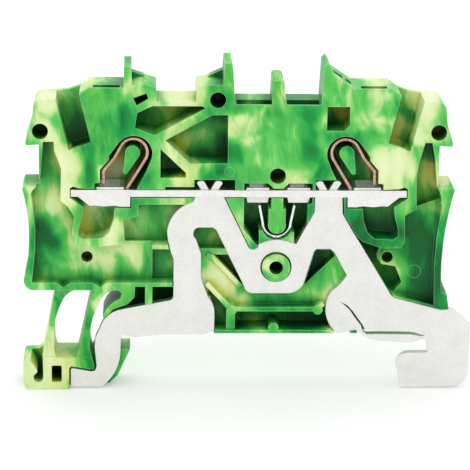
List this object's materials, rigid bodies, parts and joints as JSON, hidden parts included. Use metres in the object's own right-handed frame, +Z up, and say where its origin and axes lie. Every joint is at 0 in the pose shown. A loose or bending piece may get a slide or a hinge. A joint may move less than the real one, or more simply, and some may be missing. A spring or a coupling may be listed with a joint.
{
  "type": "din rail terminal block",
  "caption": "slim earth terminal block that clips to a 35 mm rail, open on one side, with spring clamps, a current bar and a stamped ground plate",
  "frame": {"origin": "middle of the 35 mm rail's width, on the rail's top face, halfway through the block's thickness", "axes": "X runs across the rail, the block's length, with the release foot on the left at -X; Y runs along the rail, with the open side facing -Y; Z is up, away from the rail"},
  "size_m": [0.0511, 0.0064, 0.0384],
  "materials": {
    "marbled_plastic": "injection moulded polyamide, green and yellow resins marbled together, satin",
    "tinned_plate": "stamped copper, matt tin plated",
    "tinned_bar": "stamped copper, matt tin plated",
    "spring_steel": "rolled chrome nickel spring strip with a warm tint",
    "bright_spring": "rolled spring strip, bright"
  },
  "bodies": {
    "block": {"housing": "marbled_plastic", "current_bar": "tinned_bar", "ground_plate": "tinned_plate", "clamp_spring_left": "spring_steel", "clamp_spring_right": "spring_steel", "jumper_spring": "bright_spring", "foot_strut_outer": "marbled_plastic", "foot_strut_inner": "marbled_plastic"},
    "foot": {"release_foot": "marbled_plastic"},
    "left_clamp": {"clamp_leg_left": "spring_steel"},
    "right_clamp": {"clamp_leg_right": "spring_steel"},
    "left_contact": {"jumper_leg_left": "bright_spring"},
    "right_contact": {"jumper_leg_right": "bright_spring"}
  },
  "joints": [
    {"name": "foot_release", "type": "slide", "parent": "block", "child": "foot", "axis": [-0.972, 0, 0.235], "range_m": [0, 0.0016], "stiffness_N_per_m": 2000, "deforming": ["foot_strut_outer", "foot_strut_inner"]},
    {"name": "clamp_left_open", "type": "hinge", "parent": "block", "child": "left_clamp", "pos_m": [-0.01625, 0, 0.02255], "axis": [0, -1, 0], "range_deg": [0, 16], "stiffness_Nm_per_rad": 0.02},
    {"name": "clamp_right_open", "type": "hinge", "parent": "block", "child": "right_clamp", "pos_m": [0.00745, 0, 0.02255], "axis": [0, 1, 0], "range_deg": [0, 16], "stiffness_Nm_per_rad": 0.02},
    {"name": "jumper_left_flex", "type": "hinge", "parent": "block", "child": "left_contact", "pos_m": [-0.00144, 0, 0.01348], "axis": [0, 1, 0], "range_deg": [0, 6], "stiffness_Nm_per_rad": 0.01},
    {"name": "jumper_right_flex", "type": "hinge", "parent": "block", "child": "right_contact", "pos_m": [0.00124, 0, 0.01348], "axis": [0, -1, 0], "range_deg": [0, 6], "stiffness_Nm_per_rad": 0.01}
  ]
}
